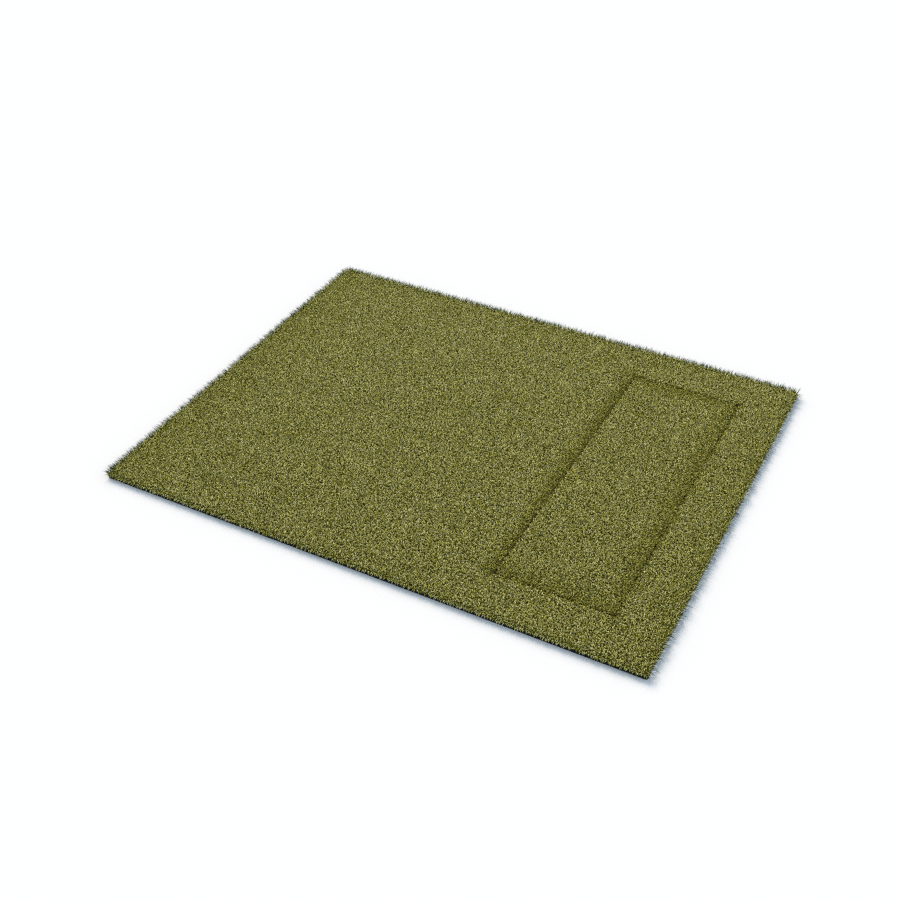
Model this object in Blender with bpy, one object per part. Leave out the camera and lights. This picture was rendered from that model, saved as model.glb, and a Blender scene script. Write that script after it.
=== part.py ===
"""Golf hitting mat: a layered turf stance mat with a lift-out hitting insert.

World frame: metres, +Z up. The origin is the centre of the mat on the floor. +X runs along the
long side towards the insert, and +Y along the short side towards the back of the mat.

From the floor up the mat is a rubber base sheet, a foam layer, a latex coat, a woven backing and
the turf pile. The four layers above the base sheet are cut out round a pocket. The insert is a
second stack of layers that sits in the pocket on three pairs of hook and loop strips.
"""

import math

import bmesh
import bpy

# Driving dimensions, in metres.
MAT_LENGTH = 1.524  # along X, five feet
MAT_WIDTH = 1.2192  # along Y, four feet
MAT_CORNER_RADIUS = 0.006
POCKET_LENGTH = 0.944  # along Y
POCKET_WIDTH = 0.314  # along X
POCKET_SIDE_BORDER = 0.134  # stance turf between the pocket and the mat's +X side
POCKET_CORNER_RADIUS = 0.004
INSERT_CLEARANCE = 0.003  # on each side of the insert in its pocket

BASE_THICKNESS = 0.0020
FOAM_THICKNESS = 0.0055
LATEX_THICKNESS = 0.0007
BACKING_THICKNESS = 0.0006
PILE_HEIGHT = 0.0080
HOOK_THICKNESS = 0.0009
LOOP_THICKNESS = 0.0009
LAYER_GAP = 0.0003  # between two pieces that lie on each other

STRIP_DEPTH = 0.050  # along Y
STRIP_SIDE_MARGIN = 0.017  # from a strip's end to the pocket's side wall
STRIP_END_MARGIN = 0.045  # from an outer strip to the pocket's end wall

ARC_STEPS = 6  # segments in each rounded corner

# Sizes and levels that follow from the driving dimensions.
POCKET_CENTRE_X = MAT_LENGTH / 2 - POCKET_SIDE_BORDER - POCKET_WIDTH / 2
INSERT_WIDTH = POCKET_WIDTH - 2 * INSERT_CLEARANCE
INSERT_LENGTH = POCKET_LENGTH - 2 * INSERT_CLEARANCE
INSERT_CORNER_RADIUS = POCKET_CORNER_RADIUS - INSERT_CLEARANCE / 2
STRIP_WIDTH = POCKET_WIDTH - 2 * STRIP_SIDE_MARGIN
STRIP_OFFSET_Y = POCKET_LENGTH / 2 - STRIP_END_MARGIN - STRIP_DEPTH / 2
STRIP_CORNER_RADIUS = 0.003

POCKET_FLOOR = BASE_THICKNESS + LAYER_GAP
FOAM_TOP = POCKET_FLOOR + FOAM_THICKNESS
LATEX_BOTTOM = FOAM_TOP + LAYER_GAP
LATEX_TOP = LATEX_BOTTOM + LATEX_THICKNESS
BACKING_BOTTOM = LATEX_TOP + LAYER_GAP
BACKING_TOP = BACKING_BOTTOM + BACKING_THICKNESS
PILE_BOTTOM = BACKING_TOP + LAYER_GAP
PILE_TOP = PILE_BOTTOM + PILE_HEIGHT
HOOK_TOP = POCKET_FLOOR + HOOK_THICKNESS
LOOP_BOTTOM = HOOK_TOP + LAYER_GAP
LOOP_TOP = LOOP_BOTTOM + LOOP_THICKNESS
PAD_BOTTOM = LOOP_TOP + LAYER_GAP


def clear_scene():
    """Removes whatever the scene holds, such as the default cube."""
    for existing in list(bpy.data.objects):
        bpy.data.objects.remove(existing, do_unlink=True)


def add_material(name, colour, roughness):
    """Returns a non-metallic Principled material."""
    material = bpy.data.materials.new(name)
    material.use_nodes = True
    shader = material.node_tree.nodes["Principled BSDF"]
    shader.inputs["Base Color"].default_value = (*colour, 1.0)
    shader.inputs["Roughness"].default_value = roughness
    shader.inputs["Metallic"].default_value = 0.0
    return material


def add_empty(name, location):
    """Returns an empty that carries the pieces of one moving group."""
    empty = bpy.data.objects.new(name, None)
    empty.location = location
    bpy.context.scene.collection.objects.link(empty)
    return empty


def rounded_rectangle(size, radius, centre=(0.0, 0.0)):
    """Returns the outline's points in order, corner by corner from the +X +Y one."""
    reach_x = size[0] / 2 - radius
    reach_y = size[1] / 2 - radius
    corners = [(reach_x, reach_y), (-reach_x, reach_y), (-reach_x, -reach_y), (reach_x, -reach_y)]
    points = []
    for quarter, (corner_x, corner_y) in enumerate(corners):
        for step in range(ARC_STEPS + 1):
            angle = math.pi / 2 * (quarter + step / ARC_STEPS)
            x = centre[0] + corner_x + radius * math.cos(angle)
            y = centre[1] + corner_y + radius * math.sin(angle)
            points.append((x, y))
    return points


def add_layer_floor(bm, outline, hole):
    """Adds the flat underside of a layer at z = 0, with a hole where one is given."""
    outer = [bm.verts.new((x, y, 0.0)) for x, y in outline]
    if hole is None:
        bm.faces.new(outer)
        return
    inner = [bm.verts.new((x, y, 0.0)) for x, y in hole]
    count = len(outer)
    for i in range(count):
        after = (i + 1) % count
        bm.faces.new((outer[i], outer[after], inner[after], inner[i]))


def add_layer(name, material, parent, thickness, bottom, outline, hole=None):
    """Adds one flat layer, whose outline is drawn about the parent's axis, as its own object."""
    bm = bmesh.new()
    add_layer_floor(bm, outline, hole)
    extruded = bmesh.ops.extrude_face_region(bm, geom=bm.faces[:])
    raised = [part for part in extruded["geom"] if isinstance(part, bmesh.types.BMVert)]
    bmesh.ops.translate(bm, verts=raised, vec=(0.0, 0.0, thickness))
    bmesh.ops.recalc_face_normals(bm, faces=bm.faces[:])
    mesh = bpy.data.meshes.new(name)
    bm.to_mesh(mesh)
    bm.free()
    mesh.materials.append(material)
    layer = bpy.data.objects.new(name, mesh)
    layer.parent = parent
    layer.location = (0.0, 0.0, bottom)
    bpy.context.scene.collection.objects.link(layer)
    return layer


def add_stance_mat(materials):
    """Adds the base sheet and the four layers that are cut out round the pocket."""
    mat = add_empty("mat", (0.0, 0.0, 0.0))
    outline = rounded_rectangle((MAT_LENGTH, MAT_WIDTH), MAT_CORNER_RADIUS)
    pocket = rounded_rectangle(
        (POCKET_WIDTH, POCKET_LENGTH), POCKET_CORNER_RADIUS, (POCKET_CENTRE_X, 0.0)
    )
    add_layer("base_sheet", materials["rubber"], mat, BASE_THICKNESS, 0.0, outline)
    add_layer(
        "stance_foam", materials["foam"], mat, FOAM_THICKNESS, POCKET_FLOOR, outline, pocket
    )
    add_layer(
        "stance_latex", materials["latex"], mat, LATEX_THICKNESS, LATEX_BOTTOM, outline, pocket
    )
    add_layer(
        "stance_backing",
        materials["backing"],
        mat,
        BACKING_THICKNESS,
        BACKING_BOTTOM,
        outline,
        pocket,
    )
    add_layer("stance_pile", materials["turf"], mat, PILE_HEIGHT, PILE_BOTTOM, outline, pocket)


def add_insert(materials):
    """Adds the lift-out insert. Its empty stands on the axis that the insert lifts along."""
    insert = add_empty("insert", (POCKET_CENTRE_X, 0.0, 0.0))
    outline = rounded_rectangle((INSERT_WIDTH, INSERT_LENGTH), INSERT_CORNER_RADIUS)
    pad_thickness = FOAM_TOP - PAD_BOTTOM
    add_layer("insert_pad", materials["foam"], insert, pad_thickness, PAD_BOTTOM, outline)
    add_layer(
        "insert_latex", materials["latex"], insert, LATEX_THICKNESS, LATEX_BOTTOM, outline
    )
    add_layer(
        "insert_backing", materials["backing"], insert, BACKING_THICKNESS, BACKING_BOTTOM, outline
    )
    add_layer("insert_pile", materials["turf"], insert, PILE_HEIGHT, PILE_BOTTOM, outline)
    return insert


def add_fastening_strips(materials, insert):
    """Adds three hook strips on the pocket's floor, with a loop strip on the insert above each."""
    pocket_axis = add_empty("pocket", (POCKET_CENTRE_X, 0.0, 0.0))
    for place, offset in (("front", -STRIP_OFFSET_Y), ("middle", 0.0), ("back", STRIP_OFFSET_Y)):
        outline = rounded_rectangle((STRIP_WIDTH, STRIP_DEPTH), STRIP_CORNER_RADIUS, (0.0, offset))
        add_layer(
            f"pocket_hook_{place}",
            materials["hook"],
            pocket_axis,
            HOOK_THICKNESS,
            POCKET_FLOOR,
            outline,
        )
        add_layer(
            f"insert_loop_{place}",
            materials["loop"],
            insert,
            LOOP_THICKNESS,
            LOOP_BOTTOM,
            outline,
        )


def make_materials():
    """Returns the mat's materials by what they are made of."""
    return {
        "rubber": add_material("black_rubber", (0.012, 0.012, 0.013), 0.75),
        "foam": add_material("closed_cell_foam", (0.022, 0.022, 0.024), 0.85),
        "latex": add_material("latex_coat", (0.030, 0.031, 0.033), 0.55),
        "backing": add_material("woven_backing", (0.020, 0.021, 0.020), 0.80),
        "turf": add_material("turf_fibre", (0.171, 0.170, 0.051), 0.60),
        "hook": add_material("nylon_hook", (0.014, 0.014, 0.015), 0.50),
        "loop": add_material("nylon_loop", (0.024, 0.024, 0.026), 0.90),
    }


clear_scene()
palette = make_materials()
add_stance_mat(palette)
add_fastening_strips(palette, add_insert(palette))
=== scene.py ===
"""Looks of the golf hitting mat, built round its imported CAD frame.

The two turf piles are grown fibre by fibre. Every fibre is a closed, tapering, bent spike that
stands in a thatch sheet, and loose yarn sticks out of the mat's cut sides. The hook and loop
strips get real hooks and loops. The rubber, foam, latex and backing layers are rebuilt with walls
as a knife leaves them. Every material is procedural.
"""

import math

import bpy
import numpy as np
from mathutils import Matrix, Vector


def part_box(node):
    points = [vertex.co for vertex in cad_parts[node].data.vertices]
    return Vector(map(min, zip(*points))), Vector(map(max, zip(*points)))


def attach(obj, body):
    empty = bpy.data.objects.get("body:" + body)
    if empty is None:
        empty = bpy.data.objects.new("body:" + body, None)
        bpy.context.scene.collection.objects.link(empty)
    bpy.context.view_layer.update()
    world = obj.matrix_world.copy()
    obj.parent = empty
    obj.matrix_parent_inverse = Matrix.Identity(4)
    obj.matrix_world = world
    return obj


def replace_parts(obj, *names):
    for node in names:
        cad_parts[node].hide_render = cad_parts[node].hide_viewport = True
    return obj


MM = 0.001
TINY = 1e-9  # keeps a division from failing
SAME_PLACE = 1e-6  # two places closer than this are one
FAR = 1.0  # further from the seam than any of its bands

# Seeds of the random numbers.
STANCE_SEED = 20
INSERT_SEED = 21
YARN_SEED = 22
STRIP_SEED = 23
LAYER_SEED = 24

# Corner radii of the CAD's layers.
MAT_CORNER_RADIUS = 6.0 * MM
POCKET_CORNER_RADIUS = 4.0 * MM
INSERT_CORNER_RADIUS = 2.5 * MM

# Turf. Lengths are in metres unless a comment says otherwise.
TUFT_PITCH = 3.6 * MM  # between neighbouring tufts
TUFT_JITTER = 0.42  # of the pitch
FIBRES_PER_TUFT = 2
FIBRES_PER_PATCH = 19000  # at most
FIBRE_WIDTH = 1.8 * MM
FIBRE_WIDTHS = (0.75, 1.15)  # narrowest and widest fibre, in fibre widths
FIBRE_TAPER = (1.0, 0.9)  # width of a fibre's root ring and middle ring, in fibre widths
FIBRE_LENGTH = 1.10  # in pile heights
FIBRE_LENGTHS = (0.82, 1.05)  # shortest and longest fibre, in fibre lengths
ROOT_SCATTER = 0.8 * MM
TUFT_LEAN = 0.20  # spread of the lean that a tuft's fibres share, in pile heights sideways
FIBRE_LEAN = 0.52  # and of each fibre's own
MOST_LEAN = 0.92  # sideways reach of any fibre, in fibre lengths
BEND_REACH = 0.36  # where a fibre bends, as shares of its reach, of its rise and of its drop
BEND_RISE = 0.62
BEND_DROP = 0.3
BEND_ARCH = 0.08  # extra height of the bend, in sideways reaches
TONE_SPREAD = (1.1, 1.1)  # the two parameters of the tones' beta distribution

# Splay of the turf at the mat's outer sides.
SIDES = ("left", "right", "front", "back")
OUTWARD = {"left": (-1.0, 0.0), "right": (1.0, 0.0), "front": (0.0, -1.0), "back": (0.0, 1.0)}
EDGE_BAND = 12 * MM  # how far in the splay starts
SIDE_REACH = {"left": 11 * MM, "right": 7 * MM, "front": 10 * MM, "back": 11 * MM}
SIDE_LENGTH = {"left": 1.6, "right": 1.1, "front": 1.35, "back": 1.6}  # in fibre lengths
SIDE_DROP = {"left": 0.0, "right": 4 * MM, "front": 7.5 * MM, "back": 0.0}
SIDE_SPREAD = {"left": 0.65, "right": 0.6, "front": 0.35, "back": 0.65}  # 0 is all alike
SIDE_COMBING = 0.6  # share of its own lean that a splayed fibre loses

# Loose yarn at three of the mat's cut sides. Its dark slate is painted shade, and its pale ones
# are painted highlights. Reach is how far out the tips get, and height is how far above the
# floor they end.
YARN_PITCH = {"left": 0.55 * MM, "right": 1.35 * MM, "back": 0.44 * MM}
YARN_WIDTH = 1.15 * MM
YARN_WIDTHS = (0.7, 1.2)  # narrowest and widest yarn, in yarn widths
YARN_TAPER = (1.0, 0.8)
YARN_INSET = (0.5 * MM, 3.0 * MM)  # from the side to the roots
YARN_LIFT = (0.0, 1.0 * MM)  # from the pile's underside up to the roots
YARN_END_GAP = 1.0 * MM  # from a side's ends to the nearest root
YARN_REACH = {"left": (2 * MM, 21 * MM), "right": (3 * MM, 24 * MM), "back": (2 * MM, 21 * MM)}
YARN_HEIGHT = {"left": (11 * MM, 25 * MM), "right": (2 * MM, 15 * MM), "back": (12 * MM, 26 * MM)}
YARN_REACH_SPREAD = (1.2, 1.6)  # the two parameters of the reaches' beta distribution
YARN_ARCH = 0.12  # extra height of a yarn's middle, in yarn lengths
YARN_SWAY = 3.0 * MM  # spread of the tips along the side
YARN_FAN = 9 * MM  # how far the tips spread past a side's end
YARN_FANS = (0.3, 1.0)  # least and most that one yarn spreads there, in fans
YARN_FAN_BAND = 20 * MM  # how far from a side's end the fan starts
YARN_HIGHLIGHT_SHARE = {"left": 0.0, "right": 0.65, "back": 0.0}  # share of pale ones, which are painted highlights
SHADE_SLATE_TONES = (0.0, 0.75)
HIGHLIGHT_TONES = (0.85, 1.0)

# Dip of the pile along the insert's seam, with painted shade that darkens the fibres' tone there,
# as (how far from the seam it starts, how deep it is) pairs. Depths add up, and 1 is a full dip.
STANCE_SEAM = {
    "left": ((44 * MM, 0.84), (7 * MM, 0.55)),
    "right": ((12 * MM, 1.25),),
    "front": ((13 * MM, 0.90),),
    "back": ((8 * MM, 0.45),),
}
INSERT_SEAM = {
    "left": ((6 * MM, 1.05),),
    "right": ((70 * MM, 0.59), (9 * MM, 0.34)),
    "front": ((90 * MM, 0.53), (9 * MM, 0.30)),
    "back": ((74 * MM, 0.68), (9 * MM, 0.22)),
}
# The same along the mat's outer sides: painted shade, darker towards the left, right and back sides,
# with slightly shorter fibres there too.
MAT_EDGE = {
    "left": ((200 * MM, 0.28),),
    "right": ((100 * MM, 0.18),),
    "back": ((110 * MM, 0.14),),
}
# Deeper spots of the dip and darker painted shade, round three of the seam's corners.
SEAM_CORNERS = (("left", "front"), ("right", "front"), ("right", "back"))
CORNER_BAND = 13 * MM
CORNER_DIP_AND_SHADE = 1.6
PATCHINESS = 0.75  # how much the dip and its painted shade differ from tuft to tuft
MOST_DIP_AND_SHADE = 2.6
SEAM_LOWERING = 0.34  # share of a fibre's length lost at full dip
SEAM_SHADE = 0.50  # share of its tone lost there, as painted shade
SEAM_LEAN_BAND = 6 * MM
SEAM_LEAN = 0.7 * MM  # how far fibres lean over the gap

# Cut layers. The middle of a wall stands out by its bulge, and the cut strays by its wander.
OUTLINE_BAND = 0.05  # share of a layer's length, at each end, that its pocket keeps clear of
CUT_STEP = 8 * MM
CUT_RINGS = 6
CUT_ARC_STEPS = 6
CUT_SMOOTHING = 9  # points that a wall's wander is averaged over
RUBBER_WALL = (0.15 * MM, 0.20 * MM)
FOAM_WALL = (0.50 * MM, 0.35 * MM)
LATEX_WALL = (-0.25 * MM, 0.30 * MM)
BACKING_WALL = (0.10 * MM, 0.40 * MM)

# Thatch: the stitched rows that the fibres stand in.
THATCH_PITCH = 4.8 * MM
THATCH_HEIGHT = 0.5 * MM
THATCH_RIDGE = 0.7 * MM
THATCH_ROUGH = 0.15 * MM
THATCH_POINTS = 30  # along each row

# Hook and loop tape. Profiles are (sideways, away from the tape) points in metres.
TAPE_THICKNESS = 0.30 * MM
TAPE_RIB_PITCH = 1.6 * MM
TAPE_RIB = 0.06 * MM
TAPE_POINTS = 6  # along each rib
TAPE_CORNER_RADIUS = 3.0 * MM
TAPE_BARE_EDGE = 1.5 * MM
NAP_CORNER_RADIUS = 2.0 * MM
NAP_ROOT = 0.8  # how far up in the tape the hooks and loops start, in tape thicknesses
NAP_HEIGHTS = (0.9, 1.0)  # lowest and highest, in profile heights
NAP_SWAY = 0.06 * MM  # for each millimetre sideways
NAP_SPACING = (2.2 * MM, 1.8 * MM)  # along X and along Y
NAP_WIDTH = 0.20 * MM
HOOK_PROFILE = (
    (0.0, 0.0), (0.0, 0.30 * MM), (0.10 * MM, 0.47 * MM), (0.27 * MM, 0.50 * MM),
    (0.38 * MM, 0.34 * MM),
)
LOOP_PROFILE = (
    (0.0, 0.0), (0.12 * MM, 0.32 * MM), (0.42 * MM, 0.49 * MM), (0.72 * MM, 0.32 * MM),
    (0.84 * MM, -0.05 * MM),
)

# UV layer for baked textures. The spikes' one holds tone columns side by side, and each spike
# stands upright in the column of its tone.
BAKE_LAYER = "OFBake"
TONE_COLUMNS = 64
MOST_TONE = 0.999  # just inside the last column
RING_PLACES = (0.15, 0.5, 0.85)  # of a spike ring's three vertices, across their column
TIP_PLACE = 0.5
UV_MARGIN = 0.01  # from a spike's root and tip to the layer's borders

# Materials. The stops of their colour ramps are kept where each one is made.
YARN_ROUGHNESS = 0.6
YARN_SPECULAR = 0.02
SHEET_SPECULAR = 0.10
BUMP_STRENGTH = 0.8
WEAR_SIZE = 60 * MM  # of the patches that are more and less worn
WAVE_PERIOD = math.pi / 10  # of the wave node, at scale 1
PATCH_LEVEL = 0.5  # added to a noise, so that a pattern times the two keeps its mean
PEBBLE_SHARE = 0.5  # of the rubber's pebbles and of its dust in its tone
DUST_SHARE = 0.6
WEFT_PITCH = 0.8  # in warp pitches
FUZZ_SIZE = 0.6 * MM
FUZZ_SHARE = 0.35
BLADE_STRETCH = (1.0, 0.08, 1.0)  # of the latex coat's pattern
CURL_STRETCH = (1.0, 0.6, 1.0)  # and of the thatch's

# Camera. Angles are in degrees, and the lens is in millimetres.
CAMERA_AZIMUTH = 27.81
CAMERA_ELEVATION = 37.985
CAMERA_DISTANCE = 3.4217
CAMERA_AIM = (-0.0114, -0.0803, 0.0)
CAMERA_LENS = 50.0

# Floor and light. The key light's angle is in degrees.
FLOOR_COLOUR = (0.70, 0.70, 0.70)
FLOOR_ROUGHNESS = 0.9
FLOOR_REACH = 12.0
FLOOR_CORNERS = ((-1, -1), (1, -1), (1, 1), (-1, 1))
FLOOR_LEVEL = -0.5 * MM
SKY_COLOUR = (0.67, 0.80, 0.925)
SKY_STRENGTH = 1.0
BACKDROP_COLOUR = (0.985, 1.0, 1.0)  # what the camera sees beyond the floor
KEY_COLOUR = (1.0, 0.84, 0.69)
KEY_STRENGTH = 4.50
KEY_DIRECTION = (-1.06, 1.02, 0.90)
KEY_ANGLE = 34.0
PIXEL_FILTER = 1.30  # width in pixels


def srgb(*values):
    """Turns 0 to 255 display values into linear colour."""
    return tuple(((value / 255 + 0.055) / 1.055) ** 2.4 for value in values)


def smooth(t):
    """Smooth 0 to 1 ramp."""
    t = np.clip(t, 0.0, 1.0)
    return t * t * (3.0 - 2.0 * t)


def corners_of(node):
    """Lowest and highest corner of a CAD node, as arrays."""
    low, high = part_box(node)
    return np.array(low), np.array(high)


def pocket_of(layer):
    """Lowest and highest corner of the hole in a CAD layer: its vertices away from the outline."""
    points = np.array([tuple(v.co) for v in layer.data.vertices])
    low, high = points.min(0), points.max(0)
    band = OUTLINE_BAND * (high[0] - low[0])
    inner = points[(points[:, 0] > low[0] + band) & (points[:, 0] < high[0] - band)]
    return inner.min(0), inner.max(0)


def inside_gaps(points, low, high):
    """Distance from each point to each side of a box in the XY plane, positive inside."""
    return {
        "left": points[:, 0] - low[0],
        "right": high[0] - points[:, 0],
        "front": points[:, 1] - low[1],
        "back": high[1] - points[:, 1],
    }


def outside_gaps(points, low, high):
    """Distance from each point to the sides of the box that it lies beyond, and FAR for others."""
    gaps = inside_gaps(points, low, high)
    beyond_x = np.maximum(0.0, -np.minimum(gaps["left"], gaps["right"]))
    beyond_y = np.maximum(0.0, -np.minimum(gaps["front"], gaps["back"]))
    apart = np.hypot(beyond_x, beyond_y)
    return {side: np.where(gap < 0.0, apart, FAR) for side, gap in gaps.items()}


def round_corners(points, low, high, radius):
    """Pulls points in a box's sharp corners in to its rounded ones."""
    core = np.clip(points, low[:2] + radius, high[:2] - radius)
    away = points - core
    apart = np.hypot(away[:, 0], away[:, 1])
    return core + away * np.minimum(1.0, radius / np.maximum(apart, TINY))[:, None]


def tuft_grid(rng, low, high):
    """Jittered tuft positions over a rectangle."""
    xs = np.arange(low[0] + TUFT_PITCH / 2, high[0], TUFT_PITCH)
    ys = np.arange(low[1] + TUFT_PITCH / 2, high[1], TUFT_PITCH)
    grid = np.stack(np.meshgrid(xs, ys, indexing="ij"), -1).reshape(-1, 2)
    grid += rng.uniform(-TUFT_JITTER, TUFT_JITTER, grid.shape) * TUFT_PITCH
    return grid


def side_dip_and_shade(gaps, sides):
    """Depth of each point's dip and painted shade along the given sides. 1 is full."""
    dip_and_shade = 0.0
    for side, bands in sides.items():
        depth = sum(depth * smooth(1.0 - gaps[side] / band) for band, depth in bands)
        dip_and_shade = np.maximum(dip_and_shade, depth)
    return dip_and_shade


def corner_dip_and_shade(points, low, high):
    """How much deeper each point's dip and painted shade are near a corner of the seam."""
    dip_and_shade = np.zeros(len(points))
    for across, along in SEAM_CORNERS:
        corner_x = low[0] if across == "left" else high[0]
        corner_y = low[1] if along == "front" else high[1]
        apart = np.hypot(points[:, 0] - corner_x, points[:, 1] - corner_y)
        dip_and_shade += CORNER_DIP_AND_SHADE * smooth(1.0 - apart / CORNER_BAND)
    return dip_and_shade


def lean_to_seam(gaps, sign):
    """Extra sideways reach of the tufts next to the seam, towards it.

    The sign is 1 for tufts inside the seam, and -1 for tufts outside it.
    """
    reach = 0.0
    for side in SIDES:
        near = smooth(1.0 - gaps[side] / SEAM_LEAN_BAND) * SEAM_LEAN * sign
        reach = reach + near[:, None] * np.array(OUTWARD[side])
    return reach


def splay_out(rng, root, low, high, reach):
    """Turns the fibres near the mat's outer sides outward.

    Returns every fibre's sideways reach, how many times longer it is, and how far its tip drops.
    """
    gaps = inside_gaps(root, low, high)
    stretch = np.ones(len(root))
    drop = np.zeros(len(root))
    for side in SIDES:
        near = smooth(1.0 - gaps[side] / EDGE_BAND)
        near *= 1.0 - SIDE_SPREAD[side] * rng.uniform(0.0, 1.0, len(root))
        outward = (near * SIDE_REACH[side])[:, None] * np.array(OUTWARD[side])
        reach = reach * (1.0 - SIDE_COMBING * near)[:, None] + outward
        stretch = np.maximum(stretch, 1.0 + (SIDE_LENGTH[side] - 1.0) * near)
        drop = np.maximum(drop, near * SIDE_DROP[side])
    return reach, stretch, drop


def fibre_lines(root, reach, length, drop):
    """Centre lines of fibres: the root, the bend and the tip of each."""
    flat = np.hypot(reach[:, 0], reach[:, 1])
    most = MOST_LEAN * length
    reach = reach * np.minimum(1.0, most / np.maximum(flat, TINY))[:, None]
    flat = np.minimum(flat, most)
    rise = np.sqrt(length**2 - flat**2)
    bend = root.copy()
    bend[:, :2] += reach * BEND_REACH
    bend[:, 2] += rise * BEND_RISE + flat * BEND_ARCH - drop * BEND_DROP
    tip = root.copy()
    tip[:, :2] += reach
    tip[:, 2] += rise - drop
    return np.stack([root, bend, tip], 1)


def grow(rng, tufts, low, high, dip_and_shade, seam_reach, radius, splays):
    """Returns the centre line, ring widths and tone of every fibre of the tufts.

    Dip and painted shade, and seam_reach, have a value for each tuft. The box is the pile's own.
    """
    pile = high[2] - low[2]
    dip_and_shade = dip_and_shade * rng.uniform(1.0 - PATCHINESS, 1.0 + PATCHINESS, len(tufts))
    dip_and_shade = np.minimum(dip_and_shade, MOST_DIP_AND_SHADE)
    owner = np.repeat(np.arange(len(tufts)), FIBRES_PER_TUFT)
    count = len(owner)
    root = np.empty((count, 3))
    root[:, :2] = tufts[owner] + rng.normal(0.0, ROOT_SCATTER, (count, 2))
    root[:, :2] = round_corners(root[:, :2], low, high, radius)
    root[:, 2] = low[2]

    tuft_lean = rng.normal(0.0, TUFT_LEAN, (len(tufts), 2))
    reach = (tuft_lean[owner] + rng.normal(0.0, FIBRE_LEAN, (count, 2))) * pile
    reach += seam_reach[owner]
    length = pile * FIBRE_LENGTH * rng.uniform(*FIBRE_LENGTHS, count)
    length *= (1.0 - SEAM_LOWERING * dip_and_shade)[owner]
    drop = np.zeros(count)
    if splays:
        reach, stretch, drop = splay_out(rng, root, low, high, reach)
        length *= stretch
    lines = fibre_lines(root, reach, length, drop)
    width = FIBRE_WIDTH * rng.uniform(*FIBRE_WIDTHS, count)
    tone = rng.beta(*TONE_SPREAD, count)
    # Painted shade: the tone darkens along the seam, round its corners and towards the mat's sides.
    tone *= np.maximum(0.0, 1.0 - SEAM_SHADE * dip_and_shade)[owner]
    return lines, width[:, None] * np.array(FIBRE_TAPER), tone


def spike_corners(rng, lines, widths):
    """Vertices of a spike along each centre line: its rings, then its tip."""
    count = len(lines)
    ahead = np.diff(lines, axis=1)
    ahead[:, 1:] += ahead[:, :-1].copy()
    ahead /= np.linalg.norm(ahead, axis=-1, keepdims=True)
    turn = rng.uniform(0.0, 2 * math.pi, count)
    side = np.stack([np.cos(turn), np.sin(turn), np.zeros(count)], -1)[:, None, :]
    across = side - ahead * (side * ahead).sum(-1, keepdims=True)
    across /= np.linalg.norm(across, axis=-1, keepdims=True)
    over = np.cross(ahead, across)
    angle = np.arange(3) * (2 * math.pi / 3)
    ring = across[:, :, None] * np.cos(angle)[:, None] + over[:, :, None] * np.sin(angle)[:, None]
    ring = lines[:, :-1, None] + ring * (widths / 2)[:, :, None, None]
    return np.concatenate([ring.reshape(count, -1, 3), lines[:, -1:]], 1)


def spike_faces(rings):
    """Faces of one spike: quads between its rings, triangles round its tip, and its root."""
    last, tip = 3 * rings - 3, 3 * rings
    faces = []
    for start in range(0, last, 3):
        for i in range(3):
            a, b = start + i, start + (i + 1) % 3
            faces.append((a, b, b + 3, a + 3))
    faces += [(last + i, last + (i + 1) % 3, tip) for i in range(3)]
    return faces + [(2, 1, 0)]


def spike_uvs(rings, tone):
    """UVs of every spike's vertices. U is in its tone column, and V runs from root to tip."""
    column = np.floor(np.clip(tone, 0.0, MOST_TONE) * TONE_COLUMNS) / TONE_COLUMNS
    sideways = np.append(np.tile(RING_PLACES, rings), TIP_PLACE) / TONE_COLUMNS
    upward = np.append(np.repeat(np.arange(rings) / rings + UV_MARGIN, 3), 1.0 - UV_MARGIN)
    uv = np.empty((len(tone), len(upward), 2), np.float32)
    uv[:, :, 0] = column[:, None] + sideways
    uv[:, :, 1] = upward
    return uv


def spike_mesh(name, rng, lines, widths, tone):
    """One mesh with a closed, three-sided spike along each centre line.

    A line's last point is the spike's tip, and widths has a column for each point before it.
    """
    rings = widths.shape[1]
    verts = spike_corners(rng, lines, widths)
    count, per_spike = verts.shape[:2]
    faces = spike_faces(rings)
    loops = ((np.arange(count) * per_spike)[:, None] + np.concatenate(faces)).ravel()
    sizes = np.tile([len(face) for face in faces], count)

    mesh = bpy.data.meshes.new(name)
    mesh.vertices.add(count * per_spike)
    mesh.vertices.foreach_set("co", verts.astype(np.float32).ravel())
    mesh.loops.add(len(loops))
    mesh.loops.foreach_set("vertex_index", loops.astype(np.int32))
    mesh.polygons.add(len(sizes))
    starts = np.cumsum(sizes) - sizes
    mesh.polygons.foreach_set("loop_start", starts.astype(np.int32))
    mesh.update(calc_edges=True)
    layer = mesh.uv_layers.new(name=BAKE_LAYER)
    layer.data.foreach_set("uv", spike_uvs(rings, tone).reshape(-1, 2)[loops].ravel())
    mesh.shade_smooth()
    return mesh


def add_piece(name, mesh, material, body):
    """Links a mesh as a piece that rides on a body."""
    mesh.materials.append(material)
    piece = bpy.data.objects.new(name, mesh)
    bpy.context.scene.collection.objects.link(piece)
    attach(piece, body)
    return piece


def sheet_faces(cells):
    """Faces of a closed sheet over the filled cells of a grid, for top points, then bottom ones."""
    across, along = cells.shape
    rows = along + 1
    below = (across + 1) * rows
    ringed = np.pad(cells, 1)
    faces = []
    for i, j in np.argwhere(cells):
        a, b = i * rows + j, (i + 1) * rows + j
        c, d = b + 1, a + 1
        faces.append((a, b, c, d))
        faces.append((d + below, c + below, b + below, a + below))
        sides = (
            (a, b, ringed[i + 1, j]),
            (b, c, ringed[i + 2, j + 1]),
            (c, d, ringed[i + 1, j + 2]),
            (d, a, ringed[i, j + 1]),
        )
        faces += [(q, p, p + below, q + below) for p, q, filled in sides if not filled]
    return np.array(faces)


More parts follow.
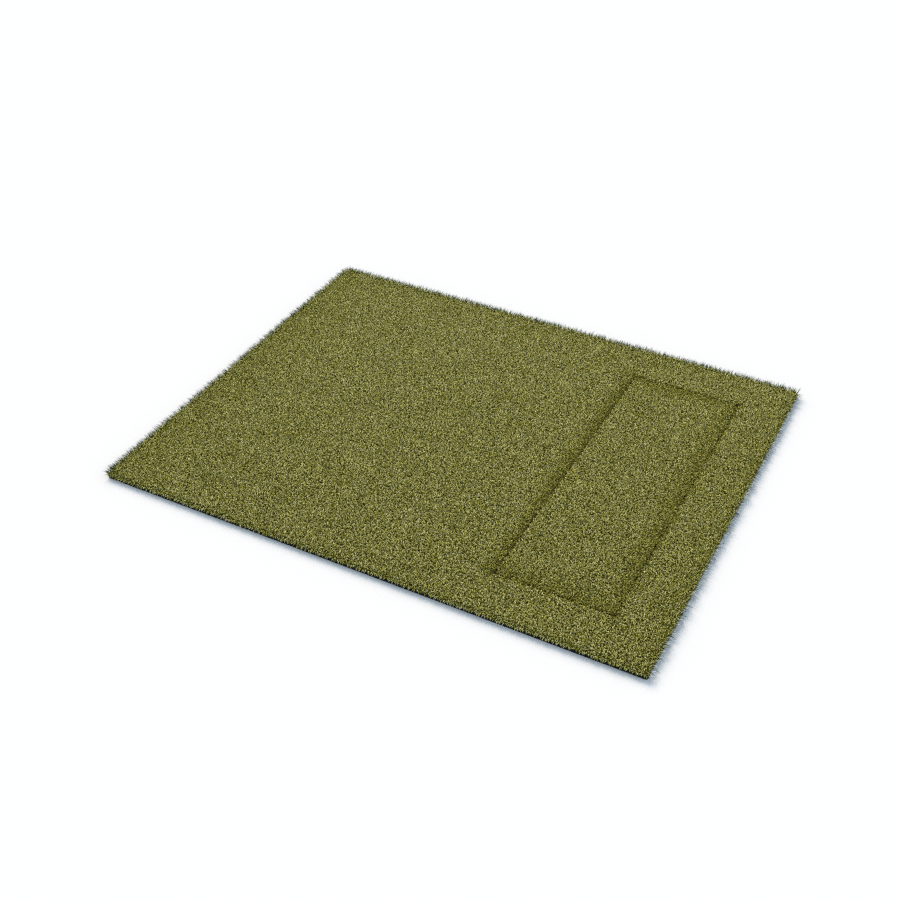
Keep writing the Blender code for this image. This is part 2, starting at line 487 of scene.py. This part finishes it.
def sheet_mesh(name, xs, ys, top, bottom, outline, radius, hole=None):
    """A closed sheet over a grid, with rounded outer corners and its top at the given heights."""
    cells = np.ones((len(xs) - 1, len(ys) - 1), bool)
    if hole is not None:
        in_x = (xs[:-1] >= hole[0][0] - SAME_PLACE) & (xs[1:] <= hole[1][0] + SAME_PLACE)
        in_y = (ys[:-1] >= hole[0][1] - SAME_PLACE) & (ys[1:] <= hole[1][1] + SAME_PLACE)
        cells[np.ix_(in_x, in_y)] = False
    flat = np.stack(np.meshgrid(xs, ys, indexing="ij"), -1).reshape(-1, 2)
    flat = round_corners(flat, *outline, radius)
    upper = np.concatenate([flat, top.reshape(-1, 1)], 1)
    lower = np.concatenate([flat, np.full((len(flat), 1), bottom)], 1)
    points = np.concatenate([upper, lower])
    faces = sheet_faces(cells)
    used, renumbered = np.unique(faces, return_inverse=True)
    points, faces = points[used], renumbered.reshape(faces.shape)
    mesh = bpy.data.meshes.new(name)
    mesh.from_pydata(points.tolist(), [], faces.tolist())
    size = points.max(0) - points.min(0)
    uv = (points[:, :2] - points[:, :2].min(0)) / size[:2]
    layer = mesh.uv_layers.new(name=BAKE_LAYER)
    layer.data.foreach_set("uv", uv[faces.ravel()].astype(np.float32).ravel())
    return mesh


def rounded_outline(low, high, radius, steps):
    """Points anticlockwise round a rounded rectangle, and the outward direction at each.

    Steps holds the number of segments along X and along Y, so that two outlines can be bridged.
    """
    middle, reach = (low + high)[:2] / 2, (high - low)[:2] / 2 - radius
    corners = np.array(((1, 1), (-1, 1), (-1, -1), (1, -1)))
    points, outward = [], []
    for quarter in range(4):
        turn = math.pi / 2 * (quarter + np.linspace(0.0, 1.0, CUT_ARC_STEPS + 1))
        arc = np.stack([np.cos(turn), np.sin(turn)], -1)
        corner = middle + reach * corners[quarter] + radius * arc
        end = middle + reach * corners[(quarter + 1) % 4] + radius * arc[-1]
        share = np.linspace(0.0, 1.0, steps[quarter % 2] + 1)[1:-1, None]
        side = corner[-1] + (end - corner[-1]) * share
        points += [corner, side]
        outward += [arc, np.repeat(arc[-1:], len(side), 0)]
    return np.concatenate(points), np.concatenate(outward)


def cut_wall(rng, outline, bottom, top, wall, sign):
    """Rings of points up a cut wall.

    The sign is 1 where the wall faces outward, and -1 where it faces into the pocket.
    """
    points, outward = outline
    bulge, wander = wall
    window = np.hanning(CUT_SMOOTHING)
    drift = np.resize(rng.normal(0.0, 1.0, len(points)), len(points) + len(window) - 1)
    drift = np.convolve(drift, window, "valid")
    up = np.linspace(0.0, 1.0, CUT_RINGS)[:, None]
    out = bulge * np.sin(math.pi * up) + drift * wander / np.abs(drift).max()
    rings = np.empty((CUT_RINGS, len(points), 3))
    rings[:, :, :2] = points + outward * (sign * out)[:, :, None]
    rings[:, :, 2] = bottom + (top - bottom) * up
    return rings.reshape(-1, 3)


def wall_faces(first, count, turned):
    """Quads between the rings of a wall whose points start at index first, count to a ring."""
    faces = []
    for start in range(first, first + (CUT_RINGS - 1) * count, count):
        for i in range(count):
            a, b = start + i, start + (i + 1) % count
            face = (a, b, b + count, a + count)
            faces.append(face[::-1] if turned else face)
    return faces


def cut_layer_mesh(name, rng, low, high, radius, hole, wall):
    """A layer with cut walls, flat on top and below."""
    steps = [round((high[k] - low[k]) / CUT_STEP) for k in range(2)]
    outline = rounded_outline(low, high, radius, steps)
    points = cut_wall(rng, outline, low[2], high[2], wall, 1.0)
    count = len(outline[0])
    top = (CUT_RINGS - 1) * count
    faces = wall_faces(0, count, turned=False)
    if hole is None:
        walls = len(faces)
        faces += [tuple(range(top, top + count)), tuple(reversed(range(count)))]
    else:
        inner = len(points)
        outline = rounded_outline(*hole, POCKET_CORNER_RADIUS, steps)
        points = np.concatenate([points, cut_wall(rng, outline, low[2], high[2], wall, -1.0)])
        faces += wall_faces(inner, count, turned=True)
        walls = len(faces)
        for i in range(count):
            j = (i + 1) % count
            faces.append((top + i, top + j, inner + top + j, inner + top + i))
            faces.append((i, inner + i, inner + j, j))
    mesh = bpy.data.meshes.new(name)
    mesh.from_pydata(points.tolist(), [], faces)
    mesh.polygons.foreach_set("use_smooth", [i < walls for i in range(len(faces))])
    return mesh


def thatch_mesh(name, rng, low, high, radius, hole):
    """Stitched rows along Y, ridge by ridge across X."""
    xs = np.arange(low[0], high[0] - THATCH_PITCH / 4, THATCH_PITCH / 2)
    ridge = np.arange(len(xs)) % 2
    xs = np.append(xs, high[0])
    ridge = np.append(ridge, 0)
    ys = np.linspace(low[1], high[1], THATCH_POINTS)
    if hole is not None:
        for edge in (hole[0][0], hole[1][0]):
            xs[np.argmin(np.abs(xs - edge))] = edge
        for edge in (hole[0][1], hole[1][1]):
            ys[np.argmin(np.abs(ys - edge))] = edge
    top = low[2] + THATCH_HEIGHT + THATCH_RIDGE * ridge[:, None]
    top = top + rng.uniform(-THATCH_ROUGH, THATCH_ROUGH, (len(xs), len(ys)))
    return sheet_mesh(name, xs, ys, top, low[2], (low, high), radius, hole)


def tape_mesh(name, low, high, facing_up):
    """A thin ribbed tape on one face of its CAD strip: the face away from its hooks or loops."""
    xs = np.append(np.arange(low[0], high[0] - TAPE_RIB_PITCH / 4, TAPE_RIB_PITCH / 2), high[0])
    ys = np.linspace(low[1], high[1], TAPE_POINTS)
    rib = TAPE_RIB * (np.arange(len(xs)) % 2)[:, None] * np.ones(len(ys))
    bottom = low[2] if facing_up else high[2] - TAPE_THICKNESS
    top = bottom + TAPE_THICKNESS - TAPE_RIB + rib
    return sheet_mesh(name, xs, ys, top, bottom, (low, high), TAPE_CORNER_RADIUS)


def nap_lines(rng, low, high, profile, facing_up):
    """Centre lines of the hooks or loops on a tape, in staggered rows."""
    xs = np.arange(low[0] + TAPE_BARE_EDGE, high[0] - TAPE_BARE_EDGE, NAP_SPACING[0])
    ys = np.arange(low[1] + TAPE_BARE_EDGE, high[1] - TAPE_BARE_EDGE, NAP_SPACING[1])
    grid = np.stack(np.meshgrid(xs, ys, indexing="ij"), -1)
    grid[:, 1::2, 0] += NAP_SPACING[0] / 2
    direction = np.where(np.arange(len(ys)) % 2 == 0, 1.0, -1.0) * np.ones((len(xs), 1))
    inner_low, inner_high = low + TAPE_BARE_EDGE, high - TAPE_BARE_EDGE
    grid = round_corners(grid.reshape(-1, 2), inner_low, inner_high, NAP_CORNER_RADIUS)
    direction = direction.ravel()[:, None]
    stretch = rng.uniform(*NAP_HEIGHTS, (len(grid), 1))
    sway = rng.normal(0.0, NAP_SWAY, (len(grid), 1))
    profile = np.array(profile)
    depth = NAP_ROOT * TAPE_THICKNESS
    lines = np.empty((len(grid), len(profile), 3))
    lines[:, :, 0] = grid[:, :1] + profile[:, 0] * direction
    lines[:, :, 1] = grid[:, 1:] + sway * profile[:, 0] / MM
    if facing_up:
        lines[:, :, 2] = low[2] + depth + profile[:, 1] * stretch
    else:
        lines[:, :, 2] = high[2] - depth - profile[:, 1] * stretch
    return lines


def add_strip(node, body, tape_look, nap_look, profile, facing_up):
    """Replaces a CAD strip with ribbed tape that carries hooks or loops."""
    rng = np.random.default_rng(STRIP_SEED)
    low, high = corners_of(node)
    tape_name, nap_name = f"{node}_tape", f"{node}_nap"
    tape = add_piece(tape_name, tape_mesh(tape_name, low, high, facing_up), tape_look, body)
    lines = nap_lines(rng, low, high, profile, facing_up)
    widths = np.full((len(lines), len(profile) - 1), NAP_WIDTH)
    nap = spike_mesh(nap_name, rng, lines, widths, rng.uniform(0.0, 1.0, len(lines)))
    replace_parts(tape, node)
    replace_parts(add_piece(nap_name, nap, nap_look, body), node)


def add_patches(prefix, node, body, material, rng, fibres):
    """Cuts the fibres of one pile into patches, each its own piece."""
    total = len(fibres[0])
    patches = math.ceil(total / FIBRES_PER_PATCH)
    cuts = np.linspace(0, total, patches + 1).astype(int)
    for i, (start, end) in enumerate(zip(cuts, cuts[1:])):
        name = f"{prefix}_{i + 1:02d}"
        mesh = spike_mesh(name, rng, *(values[start:end] for values in fibres))
        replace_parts(add_piece(name, mesh, material, body), node)
    print(prefix, total, "fibres in", patches, "patches")


def add_stance_turf(nodes, material, thatch_look):
    """Grows the stance mat's pile, all round the pocket, in its thatch."""
    rng = np.random.default_rng(STANCE_SEED)
    low, high = corners_of("stance_pile")
    hole_low, hole_high = pocket_of(nodes["stance_pile"])
    tufts = tuft_grid(rng, low, high)
    into_hole = inside_gaps(tufts, hole_low, hole_high)
    tufts = tufts[np.min([into_hole[side] for side in SIDES], 0) < 0.0]
    gaps = outside_gaps(tufts, hole_low, hole_high)
    # Dip and painted shade along the seam and round its corners.
    dip_and_shade = side_dip_and_shade(gaps, STANCE_SEAM) + corner_dip_and_shade(tufts, hole_low, hole_high)
    # Painted shade towards the mat's left, right and back sides, with slightly shorter fibres.
    dip_and_shade += side_dip_and_shade(inside_gaps(tufts, low, high), MAT_EDGE)
    seam_reach = lean_to_seam(gaps, -1.0)
    fibres = grow(rng, tufts, low, high, dip_and_shade, seam_reach, MAT_CORNER_RADIUS, splays=True)
    add_patches("stance_turf", "stance_pile", "mat", material, rng, fibres)
    mesh = thatch_mesh("stance_thatch", rng, low, high, MAT_CORNER_RADIUS, (hole_low, hole_high))
    thatch = add_piece("stance_thatch", mesh, thatch_look, "mat")
    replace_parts(thatch, "stance_pile")


def add_insert_turf(material, thatch_look):
    """Grows the insert's pile in its thatch."""
    rng = np.random.default_rng(INSERT_SEED)
    low, high = corners_of("insert_pile")
    tufts = tuft_grid(rng, low, high)
    gaps = inside_gaps(tufts, low, high)
    # Dip and painted shade along the seam and round its corners.
    dip_and_shade = side_dip_and_shade(gaps, INSERT_SEAM) + corner_dip_and_shade(tufts, low, high)
    seam_reach = lean_to_seam(gaps, 1.0)
    fibres = grow(rng, tufts, low, high, dip_and_shade, seam_reach, INSERT_CORNER_RADIUS, splays=False)
    add_patches("insert_turf", "insert_pile", "insert", material, rng, fibres)
    mesh = thatch_mesh("insert_thatch", rng, low, high, INSERT_CORNER_RADIUS, None)
    thatch = add_piece("insert_thatch", mesh, thatch_look, "insert")
    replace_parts(thatch, "insert_pile")


def side_yarn(rng, side, low, high):
    """Centre lines and tones of the loose yarn along one side of the mat."""
    across = 0 if side in ("left", "right") else 1
    along = 1 - across
    outward = OUTWARD[side][across]
    edge = high[across] if outward > 0.0 else low[across]
    count = int((high[along] - low[along]) / YARN_PITCH[side])
    root = np.empty((count, 3))
    root[:, along] = rng.uniform(low[along] + YARN_END_GAP, high[along] - YARN_END_GAP, count)
    root[:, across] = edge - outward * rng.uniform(*YARN_INSET, count)
    root[:, 2] = low[2] + rng.uniform(*YARN_LIFT, count)
    share = rng.beta(*YARN_REACH_SPREAD, count)
    nearest, furthest = YARN_REACH[side]
    tip = root.copy()
    tip[:, across] = edge + outward * (nearest + (furthest - nearest) * share)
    tip[:, along] += rng.normal(0.0, YARN_SWAY, count)
    fan = smooth(1.0 - (root[:, along] - low[along]) / YARN_FAN_BAND)
    fan -= smooth(1.0 - (high[along] - root[:, along]) / YARN_FAN_BAND)
    tip[:, along] -= fan * YARN_FAN * rng.uniform(*YARN_FANS, count)
    tip[:, 2] = rng.uniform(*YARN_HEIGHT[side], count)
    middle = (root + tip) / 2
    middle[:, 2] += YARN_ARCH * np.linalg.norm(tip - root, axis=-1)
    # Pale yarns are painted highlights, and the rest are painted shade in dark slate.
    painted_highlight = rng.uniform(0.0, 1.0, count) < YARN_HIGHLIGHT_SHARE[side]
    tone = np.where(painted_highlight, rng.uniform(*HIGHLIGHT_TONES, count), rng.uniform(*SHADE_SLATE_TONES, count))
    return np.stack([root, middle, tip], 1), tone


def add_side_yarn(material):
    """Loose yarn along the mat's cut sides, as one piece."""
    rng = np.random.default_rng(YARN_SEED)
    low, high = corners_of("stance_pile")
    sides = [side_yarn(rng, side, low, high) for side in YARN_PITCH]
    lines, tone = (np.concatenate(values) for values in zip(*sides))
    width = YARN_WIDTH * rng.uniform(*YARN_WIDTHS, len(lines))
    mesh = spike_mesh("stance_fringe", rng, lines, width[:, None] * np.array(YARN_TAPER), tone)
    add_piece("stance_fringe", mesh, material, "mat")
    print("stance_fringe", len(lines), "yarns")


def new_material(name):
    """Returns a material, its node tree and its Principled shader."""
    material = bpy.data.materials.new(name)
    material.use_nodes = True
    return material, material.node_tree, material.node_tree.nodes["Principled BSDF"]


def add_node(tree, kind, inputs, **settings):
    """Adds a node, with its inputs given as values or as the sockets that feed them."""
    node = tree.nodes.new(kind)
    for name, value in settings.items():
        setattr(node, name, value)
    for name, value in inputs.items():
        if isinstance(value, bpy.types.NodeSocket):
            tree.links.new(value, node.inputs[name])
        else:
            node.inputs[name].default_value = value
    return node


def add_ramp(tree, stops, source):
    """Adds a colour ramp with the given position and colour stops, fed by a socket."""
    node = add_node(tree, "ShaderNodeValToRGB", {"Fac": source})
    elements = node.color_ramp.elements
    while len(elements) > 1:
        elements.remove(elements[-1])
    elements[0].position = stops[0][0]
    elements[0].color = (*stops[0][1], 1.0)
    for position, colour in stops[1:]:
        elements.new(position).color = (*colour, 1.0)
    return node.outputs["Color"]


def mix_colours(tree, blend, factor, first, second):
    """Mixes two colours, which are sockets or values."""
    inputs = {"Factor": factor, "A": first, "B": second}
    node = add_node(tree, "ShaderNodeMix", inputs, data_type="RGBA", blend_type=blend)
    return node.outputs["Result"]


def calculate(tree, operation, first, second):
    """One step of arithmetic on two sockets or values."""
    return add_node(tree, "ShaderNodeMath", {0: first, 1: second}, operation=operation).outputs[0]


def spike_material(name, tones, shades):
    """Yarn: its tone runs across the UV layer, and painted shade from its root to its tip."""
    material, tree, shader = new_material(name)
    shader.inputs["Roughness"].default_value = YARN_ROUGHNESS
    shader.inputs["Specular IOR Level"].default_value = YARN_SPECULAR
    uv = add_node(tree, "ShaderNodeUVMap", {}, uv_map=BAKE_LAYER).outputs["UV"]
    split = add_node(tree, "ShaderNodeSeparateXYZ", {"Vector": uv})
    tone = add_ramp(tree, tones, split.outputs["X"])
    shade = add_ramp(tree, shades, split.outputs["Y"])
    colour = mix_colours(tree, "MULTIPLY", 1.0, tone, shade)
    tree.links.new(colour, shader.inputs["Base Color"])
    return material


def turf_material():
    """Olive turf yarn, with painted shade that darkens and saturates it towards the root."""
    tones = [(0.0, srgb(97, 94, 38)), (0.5, srgb(204, 201, 101)), (1.0, srgb(255, 253, 206))]
    # Painted shade: dark at the root, full brightness towards the tip.
    shades = [(0.0, (0.12, 0.11, 0.0)), (0.35, (0.42, 0.41, 0.11)), (0.8, (1.06, 1.06, 1.06))]
    return spike_material("turf_fibre", tones, shades)


def edge_yarn_material():
    """Dark slate yarn as painted shade, some of it pale as painted highlight."""
    tones = [
        (0.0, srgb(44, 61, 51)), (0.6, srgb(94, 115, 98)), (0.8, srgb(136, 156, 149)),
        (1.0, srgb(248, 251, 250)),
    ]
    # Painted shade towards the root.
    shades = [(0.0, (0.35, 0.35, 0.30)), (0.5, (1.0, 1.0, 1.0))]
    return spike_material("edge_yarn", tones, shades)


def nap_materials():
    """Nylon hooks and softer loops."""
    # Painted shade darkens the hooks and loops towards their roots.
    shades = [(0.0, (0.6, 0.6, 0.6)), (1.0, (1.0, 1.0, 1.0))]
    hooks = [(0.0, (0.014, 0.014, 0.015)), (1.0, (0.045, 0.045, 0.048))]
    loops = [(0.0, (0.030, 0.030, 0.032)), (1.0, (0.085, 0.085, 0.09))]
    return spike_material("hooks", hooks, shades), spike_material("loops", loops, shades)


def object_place(tree, stretch=(1.0, 1.0, 1.0)):
    """Object coordinates, in metres, stretched by the given factors."""
    where = add_node(tree, "ShaderNodeTexCoord", {}).outputs["Object"]
    inputs = {"Vector": where, "Scale": stretch}
    return add_node(tree, "ShaderNodeMapping", inputs).outputs["Vector"]


def noise(tree, place, size, detail=2.0):
    """Noise whose blobs are about the given size in metres."""
    inputs = {"Vector": place, "Scale": 1.0 / size, "Detail": detail}
    return add_node(tree, "ShaderNodeTexNoise", inputs).outputs["Fac"]


def grains(tree, place, size):
    """Distance to the middle of the nearest grain, for grains about the given size in metres."""
    inputs = {"Vector": place, "Scale": 1.0 / size}
    return add_node(tree, "ShaderNodeTexVoronoi", inputs).outputs["Distance"]


def threads(tree, place, pitch, direction):
    """Ripples across X or Y with the given pitch in metres."""
    inputs = {"Vector": place, "Scale": WAVE_PERIOD / pitch}
    return add_node(tree, "ShaderNodeTexWave", inputs, bands_direction=direction).outputs["Fac"]


def in_patches(tree, pattern, place, size):
    """A pattern that is stronger and weaker in patches of about the given size in metres."""
    level = calculate(tree, "ADD", noise(tree, place, size, detail=3.0), PATCH_LEVEL)
    return calculate(tree, "MULTIPLY", pattern, level)


def set_finish(tree, shader, colour, height, depth, roughness):
    """Feeds a shader its colour, its bump from a height socket, and its roughness range."""
    shader.inputs["Specular IOR Level"].default_value = SHEET_SPECULAR
    inputs = {"Height": height, "Distance": depth, "Strength": BUMP_STRENGTH}
    bump = add_node(tree, "ShaderNodeBump", inputs)
    tree.links.new(colour, shader.inputs["Base Color"])
    tree.links.new(bump.outputs["Normal"], shader.inputs["Normal"])
    wear = noise(tree, object_place(tree), WEAR_SIZE, detail=4.0)
    inputs = {"Value": wear, "To Min": roughness[0], "To Max": roughness[1]}
    spread = add_node(tree, "ShaderNodeMapRange", inputs)
    tree.links.new(spread.outputs["Result"], shader.inputs["Roughness"])


def rubber_material():
    """Black sheet rubber with a pebbled grain and a little dust."""
    material, tree, shader = new_material("base_rubber")
    place = object_place(tree)
    grain = grains(tree, place, size=2.6 * MM)
    dust = noise(tree, place, size=45 * MM, detail=6.0)
    pebbles = calculate(tree, "MULTIPLY", grain, PEBBLE_SHARE)
    tone = calculate(tree, "ADD", pebbles, calculate(tree, "MULTIPLY", dust, DUST_SHARE))
    stops = [(0.2, (0.004, 0.004, 0.004)), (0.6, (0.008, 0.008, 0.008)), (1.0, (0.02, 0.02, 0.019))]
    colour = add_ramp(tree, stops, tone)
    set_finish(tree, shader, colour, grain, depth=0.5 * MM, roughness=(0.70, 0.92))
    return material


def foam_material():
    """Closed-cell foam: fine dark pores in a slightly mottled black."""
    material, tree, shader = new_material("foam")
    place = object_place(tree)
    pores = grains(tree, place, size=1.1 * MM)
    tone = in_patches(tree, pores, place, size=18 * MM)
    stops = [(0.0, (0.002, 0.002, 0.002)), (0.3, (0.006, 0.006, 0.006)), (0.9, (0.014, 0.014, 0.015))]
    colour = add_ramp(tree, stops, tone)
    set_finish(tree, shader, colour, pores, depth=0.3 * MM, roughness=(0.82, 0.96))
    return material


def latex_material():
    """Latex coat, drawn out along Y by the coating blade."""
    material, tree, shader = new_material("latex_coat")
    streaks = noise(tree, object_place(tree, BLADE_STRETCH), size=2.0 * MM, detail=3.0)
    colour = add_ramp(tree, [(0.3, (0.007, 0.007, 0.007)), (0.7, (0.018, 0.018, 0.019))], streaks)
    set_finish(tree, shader, colour, streaks, depth=0.15 * MM, roughness=(0.45, 0.70))
    return material


def weave_material(name, pitch, dark, light):
    """Plain weave: threads across X over threads across Y, with some fuzz."""
    material, tree, shader = new_material(name)
    place = object_place(tree)
    warp = threads(tree, place, pitch, "X")
    weft = threads(tree, place, pitch * WEFT_PITCH, "Y")
    fuzz = calculate(tree, "MULTIPLY", noise(tree, place, FUZZ_SIZE), FUZZ_SHARE)
    height = calculate(tree, "ADD", calculate(tree, "MULTIPLY", warp, weft), fuzz)
    colour = add_ramp(tree, [(0.1, dark), (0.9, light)], height)
    set_finish(tree, shader, colour, height, depth=0.2 * MM, roughness=(0.72, 0.90))
    return material


def thatch_material():
    """Curled, dull olive yarn between the fibres, with gaps down to the backing."""
    material, tree, shader = new_material("thatch")
    curls = grains(tree, object_place(tree, CURL_STRETCH), size=1.6 * MM)
    tone = in_patches(tree, curls, object_place(tree), size=6 * MM)
    stops = [(0.05, (0.012, 0.011, 0.002)), (0.5, (0.045, 0.042, 0.006)), (1.0, (0.09, 0.085, 0.02))]
    colour = add_ramp(tree, stops, tone)
    set_finish(tree, shader, colour, curls, depth=0.5 * MM, roughness=(0.75, 0.95))
    return material


def add_layers(nodes):
    """The rubber, foam, latex and backing under the pile, with their walls as they were cut."""
    rng = np.random.default_rng(LAYER_SEED)
    foam, latex = foam_material(), latex_material()
    backing = weave_material("woven_backing", 1.5 * MM, (0.010, 0.010, 0.004), (0.045, 0.043, 0.014))
    layers = (
        ("base_sheet", "base_rubber", rubber_material(), RUBBER_WALL),
        ("stance_foam", "foam", foam, FOAM_WALL),
        ("stance_latex", "latex_coat", latex, LATEX_WALL),
        ("stance_backing", "woven_backing", backing, BACKING_WALL),
        ("insert_pad", "foam", foam, FOAM_WALL),
        ("insert_latex", "latex_coat", latex, LATEX_WALL),
        ("insert_backing", "woven_backing", backing, BACKING_WALL),
    )
    for node, slot, material, wall in layers:
        low, high = corners_of(node)
        body = "insert" if node.startswith("insert") else "mat"
        radius = INSERT_CORNER_RADIUS if body == "insert" else MAT_CORNER_RADIUS
        hole = pocket_of(nodes[node]) if node.startswith("stance") else None
        name = f"{node}_layer"
        mesh = cut_layer_mesh(name, rng, low, high, radius, hole, wall)
        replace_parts(add_piece(name, mesh, material, body), node)


def add_strips():
    """Hook strips in the pocket, and loop strips under the insert."""
    hooks, loops = nap_materials()
    hook_tape = weave_material("hook_tape", 0.9 * MM, (0.006, 0.006, 0.006), (0.020, 0.020, 0.021))
    loop_tape = weave_material("loop_tape", 0.9 * MM, (0.020, 0.020, 0.021), (0.055, 0.055, 0.058))
    for place in ("front", "middle", "back"):
        hook, loop = f"pocket_hook_{place}", f"insert_loop_{place}"
        add_strip(hook, "mat", hook_tape, hooks, HOOK_PROFILE, facing_up=True)
        add_strip(loop, "insert", loop_tape, loops, LOOP_PROFILE, facing_up=False)


def add_camera():
    """Camera in front of the mat, to the right of its middle and above it."""
    azimuth, elevation = math.radians(CAMERA_AZIMUTH), math.radians(CAMERA_ELEVATION)
    level = math.cos(elevation)
    back = Vector((math.sin(azimuth) * level, -math.cos(azimuth) * level, math.sin(elevation)))
    data = bpy.data.cameras.new("camera")
    data.lens = CAMERA_LENS
    camera = bpy.data.objects.new("camera", data)
    camera.location = Vector(CAMERA_AIM) + back * CAMERA_DISTANCE
    camera.rotation_euler = back.to_track_quat("Z", "Y").to_euler()
    bpy.context.scene.collection.objects.link(camera)
    bpy.context.scene.camera = camera


def add_floor():
    """Pale floor just under the mat."""
    mesh = bpy.data.meshes.new("floor")
    corners = [(x * FLOOR_REACH, y * FLOOR_REACH, FLOOR_LEVEL) for x, y in FLOOR_CORNERS]
    mesh.from_pydata(corners, [], [(0, 1, 2, 3)])
    floor = bpy.data.objects.new("floor", mesh)
    bpy.context.scene.collection.objects.link(floor)
    material, _, shader = new_material("floor")
    shader.inputs["Base Color"].default_value = (*FLOOR_COLOUR, 1.0)
    shader.inputs["Roughness"].default_value = FLOOR_ROUGHNESS
    shader.inputs["Specular IOR Level"].default_value = 0.0
    mesh.materials.append(material)


def add_sky():
    """Soft sky light, behind a plain backdrop that only the camera sees."""
    world = bpy.data.worlds.new("sky")
    world.use_nodes = True
    tree = world.node_tree
    background = tree.nodes["Background"]
    background.inputs["Strength"].default_value = SKY_STRENGTH
    seen = add_node(tree, "ShaderNodeLightPath", {}).outputs["Is Camera Ray"]
    colour = mix_colours(tree, "MIX", seen, (*SKY_COLOUR, 1.0), (*BACKDROP_COLOUR, 1.0))
    tree.links.new(colour, background.inputs["Color"])
    bpy.context.scene.world = world


def add_key_light():
    """One wide soft key light from the back left."""
    sun = bpy.data.lights.new("key", "SUN")
    sun.energy = KEY_STRENGTH
    sun.color = KEY_COLOUR
    sun.angle = math.radians(KEY_ANGLE)
    key = bpy.data.objects.new("key", sun)
    key.rotation_euler = Vector(KEY_DIRECTION).to_track_quat("Z", "Y").to_euler()
    bpy.context.scene.collection.objects.link(key)


def set_picture_finish():
    """Plain display colours, crisp pixels, and no denoiser, which would smear the fibres."""
    bpy.context.scene.view_settings.view_transform = "Standard"
    bpy.context.scene.cycles.filter_width = PIXEL_FILTER
    bpy.context.scene.cycles.use_denoising = False


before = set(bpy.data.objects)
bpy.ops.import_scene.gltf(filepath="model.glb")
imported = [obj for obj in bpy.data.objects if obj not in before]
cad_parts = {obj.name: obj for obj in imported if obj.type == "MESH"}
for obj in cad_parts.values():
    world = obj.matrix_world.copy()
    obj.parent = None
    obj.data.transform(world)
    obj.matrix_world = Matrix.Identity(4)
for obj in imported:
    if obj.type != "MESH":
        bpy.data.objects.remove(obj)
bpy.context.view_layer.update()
turf, thatch = turf_material(), thatch_material()
add_stance_turf(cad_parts, turf, thatch)
add_insert_turf(turf, thatch)
add_side_yarn(edge_yarn_material())
add_strips()
add_layers(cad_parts)
add_camera()
add_floor()
add_sky()
add_key_light()
set_picture_finish()
